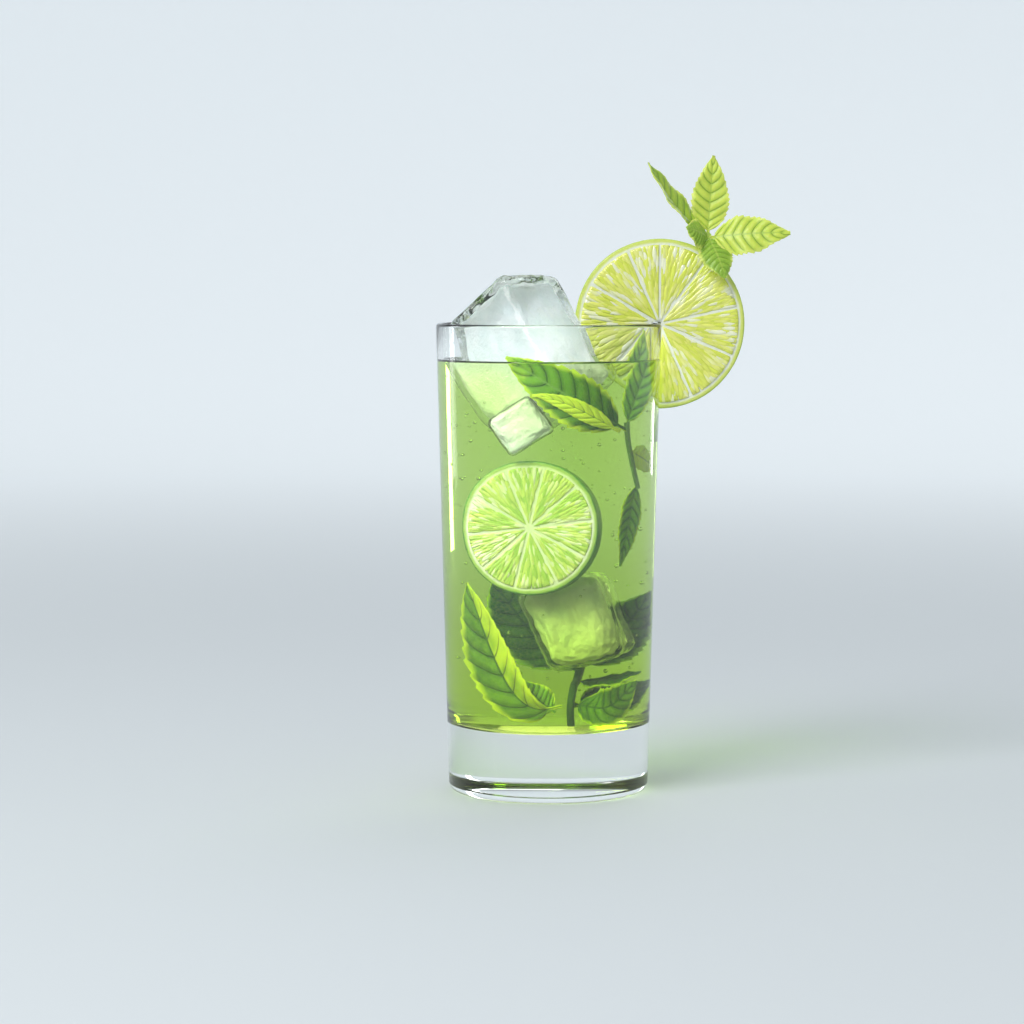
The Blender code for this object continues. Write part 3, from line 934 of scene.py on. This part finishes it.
def lime_wheel(name, radius, thickness, membranes, rind_finish, pulp_finish, seed, slit=None):
    """The disc, its wedges and their juice sacs, flat at the origin."""
    disc = lime_disc(name + "_rind_and_pith", radius, thickness, seed)
    wedges, fields = [], ([], [])
    ends = list(membranes[1:]) + [membranes[0] + 360]
    for low, high in zip(membranes, ends):
        outline = wedge_outline(math.radians(low), math.radians(high), radius)
        wedges.append(as_object("wedge", *skin(wedge_pillow(outline, thickness))))
        middle = outline.mean(0)
        field = middle + (outline - middle) * 0.93
        for side in (-1, 1):
            edge, crown = (side * (thickness / 2 + PULP_RELIEF * share) for share in (0.2, 0.9))
            base = len(fields[0])
            fields[0].extend([(middle[0], crown, middle[1])] + [(x, edge, z) for x, z in field])
            count = len(field)
            fields[1].extend([(base, base + 1 + i, base + 1 + (i + 1) % count) for i in range(count)])
    flesh = joined(name + "_pulp", wedges)
    sacs = plain_object(name + "_juice_sacs", fields[0], faces=fields[1])
    run_tree(sacs, juice_sacs, {"Finish": pulp_finish, "Seed": seed, "Spacing": radius * 0.046,
                                "Length": radius * 0.13, "Width": radius * 0.034, "Depth": 0.0003})
    press_into_wedges(sacs, membranes, radius)
    disc.data.materials.append(rind_finish)
    flesh.data.materials.append(pulp_finish)
    pieces = [disc, flesh, sacs]
    if slit is not None:
        clear_of(sacs, WHEEL_CENTRE, SLIT_GAP)
    for piece in pieces:
        if slit is not None and piece is not sacs:
            cut_out(piece, slit)
        remember_place(piece)
    return pieces


def move(pieces, matrix):
    for piece in pieces:
        piece.data.transform(matrix)
        piece.data.update()


# %% [markdown]
# The wheel on the rim faces the viewer, with its middle over the wall at the right. The sunk one
# leans against the front of the glass and is turned a little, so that its rind shows on the right.

# %% Place the wheels
WHEEL_CENTRE = Vector((0.0356, 0.0070, 0.1497))
SLIT_GAP = 0.0003


def wall_ring():
    """The glass wall and its clearance, moved to where the flat wheel lies at the origin."""
    low, top = 0.100, GLASS_HEIGHT + SLIT_GAP
    turns = np.linspace(0, math.tau, 256, endpoint=False)
    outline = [(inner_radius(low) - SLIT_GAP, low), (outer_radius(low) + SLIT_GAP, low),
               (outer_radius(top) + SLIT_GAP, top), (inner_radius(top) - SLIT_GAP, top)]
    verts = [(r * math.cos(a), r * math.sin(a), z) for r, z in outline for a in turns]
    count = len(turns)
    faces = [(i * count + j, i * count + (j + 1) % count, ((i + 1) % 4) * count + (j + 1) % count,
              ((i + 1) % 4) * count + j) for i in range(4) for j in range(count)]
    ring = as_object("wall_ring", verts, faces)
    ring.data.transform(Matrix.Translation(-WHEEL_CENTRE))
    return ring


ring = wall_ring()
rim_rind = rind_and_pith("rim_lime_rind", RIM_WHEEL["radius"], (0.68, 0.76, 0.16), (0.48, 0.62, 0.08))
rim_pulp = pulp("rim_lime_pulp", (0.95, 0.97, 0.66), (0.88, 0.91, 0.19), (0.74, 0.83, 0.09))
rim_wheel = lime_wheel("lime_wheel_rim", **RIM_WHEEL, rind_finish=rim_rind, pulp_finish=rim_pulp,
                       seed=3, slit=ring)
bpy.data.objects.remove(ring, do_unlink=True)
move(rim_wheel, Matrix.Translation(WHEEL_CENTRE))

SUNK_CENTRE = Vector((-0.0050, -0.0209, 0.0865))
sunk_rind = rind_and_pith("sunk_lime_rind", SUNK_WHEEL["radius"], (0.40, 0.58, 0.10), (0.12, 0.34, 0.03))
sunk_pulp = pulp("sunk_lime_pulp", (0.95, 0.97, 0.74), (0.72, 0.84, 0.18), (0.45, 0.68, 0.08))
sunk_wheel = lime_wheel("lime_wheel_sunk", **SUNK_WHEEL, rind_finish=sunk_rind,
                        pulp_finish=sunk_pulp, seed=8)
lean = Matrix.Rotation(math.radians(-13), 4, "Z") @ Matrix.Rotation(math.radians(-4), 4, "X")
move(sunk_wheel, Matrix.Translation(SUNK_CENTRE) @ lean)
for piece in rim_wheel + sunk_wheel:
    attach(piece, "root")
    tell(piece)
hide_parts("lime_wheel")

# %% [markdown]
# ## Mint
#
# A mint leaf is egg-shaped, with a saw-toothed edge, a strong midrib and six to eight pairs of
# veins that curve towards the tip. Between the veins the blade is puffed up like a quilt. We lay
# a grid along the midrib: rows run to the tip, columns across. The grid gives the outline, the
# teeth, the quilting and the bends in one rule, and its two faces make a thin closed solid.

# %% Course of a midrib or a stem
LEAF_THICKNESS = 0.00042
PETIOLE_SHARE, PETIOLE_HALF_WIDTH = 0.08, 0.0005
OVATE_POWER, FULLNESS, RIPPLES = 0.72, 0.85, 3
TEETH, ROWS_A_TOOTH, LEAF_COLUMNS, VEIN_PAIRS, VEIN_SWEEP = 13, 6, 26, 8, 0.17
WALL_GAP = 0.0007


def course(points, count):
    """Evenly spaced points along a soft curve through the given ones, with their directions."""
    path = [np.array(p, float) for p in points]
    ends = [2 * path[0] - path[1]] + path + [2 * path[-1] - path[-2]]
    dense = []
    for a, b, c, d in zip(ends, ends[1:], ends[2:], ends[3:]):
        for t in np.linspace(0, 1, 24, endpoint=False):
            dense.append(0.5 * (2 * b + (c - a) * t + (2 * a - 5 * b + 4 * c - d) * t * t
                                + (3 * b - a - 3 * c + d) * t ** 3))
    dense = np.array(dense + [path[-1]])
    run = np.concatenate([[0], np.cumsum(np.linalg.norm(np.diff(dense, axis=0), axis=1))])
    where = np.linspace(0, run[-1], count)
    even = np.stack([np.interp(where, run, dense[:, i]) for i in range(3)], 1)
    ahead = np.gradient(even, axis=0)
    return even, ahead / np.linalg.norm(ahead, axis=1, keepdims=True)


# %% [markdown]
# The numbers that every leaf needs are its midrib, its width, and the way it faces. A bow lifts
# its middle, a fold lifts both sides like a book, and a ripple waves the edge. One half can also be
# turned towards the viewer, which makes it look narrower; that half is also painted lighter, as
# painted light. Each leaf's tone is partly its own colour and partly painted light and shade, and a
# leaf can be painted lighter towards its tip as painted highlight. Leaves that lie against the
# inside of the glass are bent on to its wall.

# %% Shape a mint leaf
def mint_leaf(midrib, width, facing, bow=0.0, fold=0.0, ripple=0.0, hug=None, tone=0.5, turned=0.0, tip=0.0,
              seed=0.0):
    """A leaf's two grids of points, as an object with its vein coordinates stored."""
    rows = TEETH * ROWS_A_TOOTH + 7
    path, ahead = course(midrib, rows)
    share = np.linspace(0, 1, rows)[:, None]
    side = np.linspace(-1, 1, LEAF_COLUMNS + 1)[None, :]
    blade = np.clip((share - PETIOLE_SHARE) / (1 - PETIOLE_SHARE), 0, 1)
    half = np.maximum(PETIOLE_HALF_WIDTH, width / 2 * np.sin(np.pi * blade ** OVATE_POWER) ** FULLNESS)
    saw = (blade * TEETH + 0.25 * np.sign(side) * np.sin(9 * blade + seed)) % 1.0
    tooth = np.where(blade > 0.10, 0.115 * (saw - 0.55) * np.abs(side) ** 5, 0.0)
    reach = side * half * (1 + tooth) * (1 - 0.45 * turned * (side < 0))
    facing = np.array(facing, float)
    across = np.cross(facing, ahead)
    across /= np.linalg.norm(across, axis=1, keepdims=True)
    up = np.cross(ahead, across)
    lift = bow * np.sin(np.pi * share) + fold * np.abs(side) * half
    lift = lift + 0.55 * turned * np.maximum(-side, 0) * half
    lift = lift + ripple * side ** 2 * np.sin(RIPPLES * math.tau * share + side)
    vein = (VEIN_PAIRS * (blade - VEIN_SWEEP * np.abs(side) ** 1.3)) % 1.0
    beside_vein = np.minimum(vein, 1 - vein) / VEIN_PAIRS * 2
    quilt = (1 - np.exp(-(beside_vein / 0.055) ** 2)) * (1 - np.exp(-(side / 0.16) ** 2)) * (1 - side ** 6)
    lift = lift + 0.00032 * quilt * np.minimum(1, half / 0.003)
    grid = path[:, None, :] + across[:, None, :] * reach[..., None] + up[:, None, :] * lift[..., None]
    if hug is not None:
        radius = np.minimum(hug - grid[..., 1], inner_radius(grid[..., 2]) - WALL_GAP)
        grid[..., 1] = -np.sqrt(np.maximum(radius ** 2 - grid[..., 0] ** 2, 1e-8))
    du, dv = np.gradient(grid, axis=0), np.gradient(grid, axis=1)
    normal = np.cross(du, dv)
    normal /= np.maximum(np.linalg.norm(normal, axis=2, keepdims=True), 1e-12)
    thick = LEAF_THICKNESS / 2 * (1 - 0.55 * side ** 8)[..., None] * np.ones_like(share)[..., None]
    # Painted light: the turned half and the part towards the tip are painted lighter, and the tone given for
    # each leaf is partly painted light and shade.
    light = tone + 0.8 * turned * (side < -0.03) + tip * share ** 1.5
    return leaf_object(grid, normal * thick, blade * np.ones_like(side), side * np.ones_like(share), light)


def store(item, label, numbers):
    """Stores one number on each point."""
    layer = item.data.attributes.new(label, "FLOAT", "POINT")
    layer.data.foreach_set("value", numbers.astype(np.float32))


def leaf_object(grid, offset, blade, side, tone):
    """Sews an upper and an under grid together along their edge."""
    rows, columns = blade.shape
    verts = np.concatenate([(grid + offset).reshape(-1, 3), (grid - offset).reshape(-1, 3)])
    index = np.arange(rows * columns).reshape(rows, columns)
    a, b = index[:-1, :-1].ravel(), index[:-1, 1:].ravel()
    c, d = index[1:, 1:].ravel(), index[1:, :-1].ravel()
    other = rows * columns
    faces = list(zip(a, b, c)) + list(zip(a, c, d))
    faces += list(zip(c + other, b + other, a + other)) + list(zip(d + other, c + other, a + other))
    rim = np.concatenate([index[0, :-1], index[:-1, -1], index[-1, :0:-1], index[:0:-1, 0]])
    after = np.roll(rim, -1)
    faces += list(zip(rim, rim + other, after + other, after))
    made = as_object("leaf", verts, faces, 70)
    values = {"leaf_along": np.tile(blade.ravel(), 2), "leaf_across": np.tile(side.ravel(), 2),
              "leaf_under": np.repeat((0.0, 1.0), other), "leaf_tone_and_painted_light": np.tile(tone.ravel(), 2)}
    for label, numbers in values.items():
        store(made, label, numbers)
    return made


# %% [markdown]
# A stem follows a path, which is what Geometry Nodes' Curve to Mesh is for. Mint stems are square
# with soft corners, so the profile is a small quadrilateral with filleted corners. The stem's
# leaf attributes stay at zero, and the finish then paints it as a midrib.

# %% Tree that draws a stem
def stem_tree():
    tree, start, end = new_tree("mint stem", [("Radius", "NodeSocketFloat", 0.001),
                                              ("Finish", "NodeSocketMaterial", None)])
    curve = add(tree, "GeometryNodeMeshToCurve", {}, {0: start.outputs["Geometry"]})
    side = times(tree, start.outputs["Radius"], 1.8)
    square = add(tree, "GeometryNodeCurvePrimitiveQuadrilateral", {}, {"Width": side, "Height": side})
    soft = add(tree, "GeometryNodeFilletCurve", {"mode": "POLY"},
               {"Curve": square.outputs[0], "Count": 4, "Radius": times(tree, side, 0.38)})
    tube = add(tree, "GeometryNodeCurveToMesh", {},
               {"Curve": curve.outputs[0], "Profile Curve": soft.outputs[0], "Fill Caps": True})
    return end_tree(tree, start, end, tube.outputs[0])


mint_stem = stem_tree()


def stem(points, radius, finish, tone=0.5):
    path, _ = course(points, 16 * (len(points) - 1) + 1)
    made = plain_object("stem", [tuple(p) for p in path], [(i, i + 1) for i in range(len(path) - 1)])
    made = sealed("stem", run_tree(made, mint_stem, {"Radius": radius, "Finish": finish}), 60)
    store(made, "leaf_tone_and_painted_light", np.full(len(made.data.vertices), tone))
    return made


# %% [markdown]
# The finish draws what the grid only hints at: the pale midrib, side veins that thin out towards
# the edge, a fine net between them, and a paler underside. It also paints light and shade: the
# margin and the points with a high tone are painted bright as painted highlight, the blade is
# painted darker near each side vein as painted shade of the groove there, and the veins get a dark
# colour that is partly their own and partly painted shade. The coordinates along and across the
# leaf were stored on its points, so the veins stay on the blade however it bends.

# %% Mint finish
def mint(name, deep, full, margin, vein_colour_and_groove_shade, midrib_colour, gloss=0.5):
    made, tree, shader = new_finish(name)
    along, across = attribute(tree, "leaf_along"), calc(tree, "ABSOLUTE", attribute(tree, "leaf_across"))
    place = on_object(tree)
    swept = calc(tree, "SUBTRACT", along, times(tree, calc(tree, "POWER", across, 1.3), VEIN_SWEEP))
    phase = calc(tree, "FRACT", times(tree, swept, float(VEIN_PAIRS)))
    near = calc(tree, "MINIMUM", phase, rest_of(tree, phase))
    width = calc(tree, "MULTIPLY_ADD", across, -0.050, 0.085)
    side_vein = rest_of(tree, between(tree, near, times(tree, width, 0.35), width))
    inner = rest_of(tree, between(tree, across, 0.72, 0.98))
    side_vein = times(tree, side_vein, inner)
    midrib = rest_of(tree, between(tree, across, 0.025, 0.075))
    to_edge = cells(tree, place, 1100.0, "DISTANCE_TO_EDGE")
    net = rest_of(tree, between(tree, to_edge, 0.02, 0.12))
    # Random speckle plus each point's stored tone, which is partly painted light and shade.
    light = calc(tree, "MULTIPLY_ADD", speckle(tree, place, 160.0, 3.0), 0.7,
                 calc(tree, "SUBTRACT", attribute(tree, "leaf_tone_and_painted_light"), 0.45))
    colour = tint(tree, between(tree, light, 0.10, 0.75), deep, full)
    # Painted shade: the blade is painted darker near each side vein, where its groove lies.
    groove_shade = rest_of(tree, between(tree, near, 0.05, 0.40))
    colour = tint(tree, times(tree, groove_shade, 0.55), colour, deep)
    # Painted highlight: points with a high tone are painted in the bright margin colour.
    colour = tint(tree, between(tree, light, 0.85, 1.25), colour, margin)
    # Painted highlight: the edge of the blade is painted in the bright margin colour.
    edge = calc(tree, "ADD", across, times(tree, calc(tree, "SUBTRACT", phase, 0.5), 0.10))
    colour = tint(tree, times(tree, between(tree, edge, 0.74, 0.98), 0.85), colour, margin)
    colour = tint(tree, times(tree, net, 0.12), colour, margin)
    # Side veins in a dark colour: partly their own colour, partly painted shade of their grooves.
    colour = tint(tree, times(tree, side_vein, 0.65), colour, vein_colour_and_groove_shade)
    colour = tint(tree, times(tree, midrib, 0.8), colour, midrib_colour)
    colour = tint(tree, times(tree, attribute(tree, "leaf_under"), 0.35), colour, margin)
    sunk = times(tree, side_vein, 0.8)
    relief = calc(tree, "SUBTRACT", speckle(tree, place, 900.0, 3.0), sunk)
    fill(tree, shader, {"Base Color": colour, "Roughness": 0.40, "Subsurface Weight": 0.2,
                        "Subsurface Radius": (0.6, 1.0, 0.15), "Subsurface Scale": 0.0004,
                        "Specular IOR Level": gloss, "Normal": bumps(tree, relief, 0.00015)})
    return made


WET_GLOSS = 0.08
garnish_mint = mint("garnish_mint", (0.26, 0.46, 0.04), (0.60, 0.72, 0.09), (0.72, 0.80, 0.16),
                    (0.14, 0.30, 0.03), (0.40, 0.56, 0.08))
# The mint inside the drink gets far darker deep and full colours than the garnish, partly painted shade, and
# bright margin colours for its painted highlights.
inner_mint = mint("inner_mint", (0.028, 0.130, 0.006), (0.16, 0.40, 0.018), (0.66, 0.86, 0.05),
                  (0.010, 0.060, 0.004), (0.20, 0.38, 0.06), WET_GLOSS)
sunk_mint = mint("sunk_mint", (0.024, 0.110, 0.005), (0.22, 0.45, 0.018), (0.68, 0.84, 0.04),
                 (0.012, 0.055, 0.004), (0.05, 0.13, 0.015), WET_GLOSS)

# %% [markdown]
# ### The sprig inside the wall
#
# Two large leaves grow from the top of a short stem: one lies along the front wall, dark and
# broad, and one stands up against the right wall. A young leaf and a lower leaf sit further down.

# %% Inner sprig
FRONT = (0.0, -1.0, 0.0)
HUG_RADIUS = 0.0312


def flat(*points):
    """Midrib points given as across and up in millimetres, for a leaf that is bent on to the wall."""
    return [(x * MM, 0.0, z * MM) for x, z in points]


def sprig(name, finish, parts, node=None):
    """Joins a stem and its leaves into one piece with one finish."""
    piece = joined(name, parts)
    piece.data.materials.clear()
    piece.data.materials.append(finish)
    piece.data.polygons.foreach_set("material_index", np.zeros(len(piece.data.polygons), np.int32))
    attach(piece, "root")
    if node:
        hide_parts(node)
    tell(piece)
    return piece


# The young leaf's tone of 1.5 paints it bright as painted light, where the lamps reach it only weakly; the
# other tones, 1.7 on the narrow leaf among them, are partly painted light and shade too.
inner_parts = [
    stem([(0.0232, -0.0205, 0.1195), (0.0236, -0.0202, 0.1140), (0.0250, -0.0184, 0.1060),
          (0.0266, -0.0160, 0.0985)], 0.0010, inner_mint, 0.25),
    mint_leaf([(0.0234, 0.0, 0.1170), (-0.0130, 0.0, 0.1400)], 0.0165, FRONT, ripple=0.0004, hug=HUG_RADIUS,
              tone=0.30, tip=0.9, seed=1.0),
    mint_leaf(flat((21.5, 116.8), (13.4, 121.6), (6.2, 125.4), (-1.5, 128.0), (-5.0, 128.2)), 0.0056,
              FRONT, ripple=0.0003, hug=0.0319, tone=1.7, seed=1.5),
    mint_leaf([(0.0226, -0.0201, 0.1175), (0.0304, -0.0034, 0.1466)], 0.0108, (0.45, -0.89, 0.0), fold=0.10,
              ripple=0.0004, tone=0.85, tip=0.3, seed=2.0),
    mint_leaf([(0.0260, -0.0160, 0.1010), (0.0212, -0.0200, 0.0742)], 0.0092, (0.72, -0.69, 0.0), fold=0.15,
              ripple=0.0003, tone=0.95, seed=3.0),
    mint_leaf([(0.0242, -0.0192, 0.1104), (0.0305, -0.0050, 0.1042)], 0.0082, (0.78, -0.60, 0.15), bow=0.0008,
              ripple=0.0005, tone=1.5, seed=4.0),
]
sprig("mint_sprig_in_glass", inner_mint, inner_parts, "mint_sprig_inner")

# %% [markdown]
# ### The sprig behind the wheel
#
# Its stem stands in the drink, leans out over the rim behind the lime and comes forward above it.
# Five bright leaves open at its tip; two of them hang in front of the slice.

# %% Garnish sprig
garnish_parts = [
    stem([(0.0215, 0.0135, 0.1120), (0.0262, 0.0130, 0.1320), (0.0303, 0.0126, 0.1500),
          (0.0395, 0.0130, 0.1630), (0.0462, 0.0125, 0.1715), (0.0500, 0.0085, 0.1762),
          (0.0510, 0.0040, 0.1780)], 0.0010, garnish_mint, 0.6),
    mint_leaf([(0.0500, 0.0058, 0.1775), (0.0316, 0.0030, 0.2010)], 0.0100, (0.80, -0.50, 0.45), bow=-0.0018,
              fold=0.35, ripple=0.0004, tone=0.45, seed=5.0),
    mint_leaf([(0.0508, 0.0052, 0.1775), (0.0528, 0.0080, 0.2034)], 0.0122, (0.10, -1.0, 0.10), bow=-0.0010,
              fold=0.12, ripple=0.0005, tone=0.9, seed=6.0),
    mint_leaf([(0.0508, 0.0045, 0.1770), (0.0769, 0.0005, 0.1787)], 0.0132, (-0.10, -0.92, 0.35), bow=0.0015,
              fold=-0.12, ripple=0.0006, tone=0.8, seed=7.0),
    mint_leaf([(0.0508, 0.0046, 0.1772), (0.0438, -0.0026, 0.1802)], 0.0100, (-0.25, -0.88, 0.40), bow=0.0008,
              fold=-0.25, ripple=0.0003, tone=0.25, seed=8.0),
    mint_leaf([(0.0509, 0.0042, 0.1774), (0.0562, -0.0020, 0.1643)], 0.0110, (0.15, -0.90, 0.40), bow=0.0014,
              fold=-0.20, ripple=0.0004, tone=0.25, seed=9.0),
]
sprig("mint_sprig_on_rim", garnish_mint, garnish_parts, "mint_sprig_rim")

# %% [markdown]
# ### Mint at the bottom
#
# A last sprig was pressed to the floor of the glass. Its long left leaf is bent up along the wall,
# and the leaves on the right fan out behind the sunk ice.

# %% Sunk sprig
LOW_HUG = 0.0272
sunk_parts = [
    stem([(0.0062, -0.0140, 0.0224), (0.0060, -0.0145, 0.0290), (0.0066, -0.0100, 0.0350),
          (0.0070, -0.0010, 0.0368), (0.0075, 0.0062, 0.0410)], 0.0011, sunk_mint, 0.9),
    mint_leaf(flat((4, 31), (-3, 30), (-8.7, 33), (-13.4, 40), (-17.7, 50.4), (-22.0, 64), (-23.4, 68.5)),
              0.0175, FRONT, ripple=0.0004, hug=LOW_HUG, tone=0.50, turned=0.9, seed=10.0),
    mint_leaf(flat((2.0, 28.6), (-2.5, 32.5), (-8.0, 38.5)), 0.0095, FRONT, ripple=0.0004, hug=0.0245, tone=0.9,
              seed=11.0),
    mint_leaf([(0.0072, 0.0050, 0.0395), (0.0150, 0.0075, 0.0500), (0.0245, 0.0060, 0.0640)], 0.0160,
              (0.25, -0.95, 0.2), ripple=0.0005, tone=0.45, seed=12.0),
    mint_leaf([(0.0068, -0.0030, 0.0362), (0.0170, -0.0080, 0.0372), (0.0270, -0.0095, 0.0395)], 0.0120,
              (0.1, -0.30, 0.95), ripple=0.0004, tone=0.1, seed=13.0),
    mint_leaf([(0.0066, -0.0115, 0.0300), (0.0170, -0.0175, 0.0295), (0.0262, -0.0125, 0.0370)], 0.0125,
              (0.35, -0.90, 0.15), ripple=0.0005, tone=0.45, seed=14.0),
    mint_leaf([(0.0066, 0.0045, 0.0390), (-0.0030, 0.0085, 0.0500), (-0.0125, 0.0080, 0.0680)], 0.0180,
              (-0.1, -1.0, 0.1), ripple=0.0005, tone=0.40, seed=15.0),
    # Painted shade: a leaf put behind the lower right leaf and given a low tone, so that it fills that space
    # with dark.
    mint_leaf([(0.0066, -0.0080, 0.0290), (0.0160, -0.0010, 0.0300), (0.0260, 0.0060, 0.0350)], 0.0130,
              (0.1, -0.80, 0.55), ripple=0.0005, tone=0.2, seed=16.0),
]
sprig("mint_sprig_sunk", sunk_mint, sunk_parts)
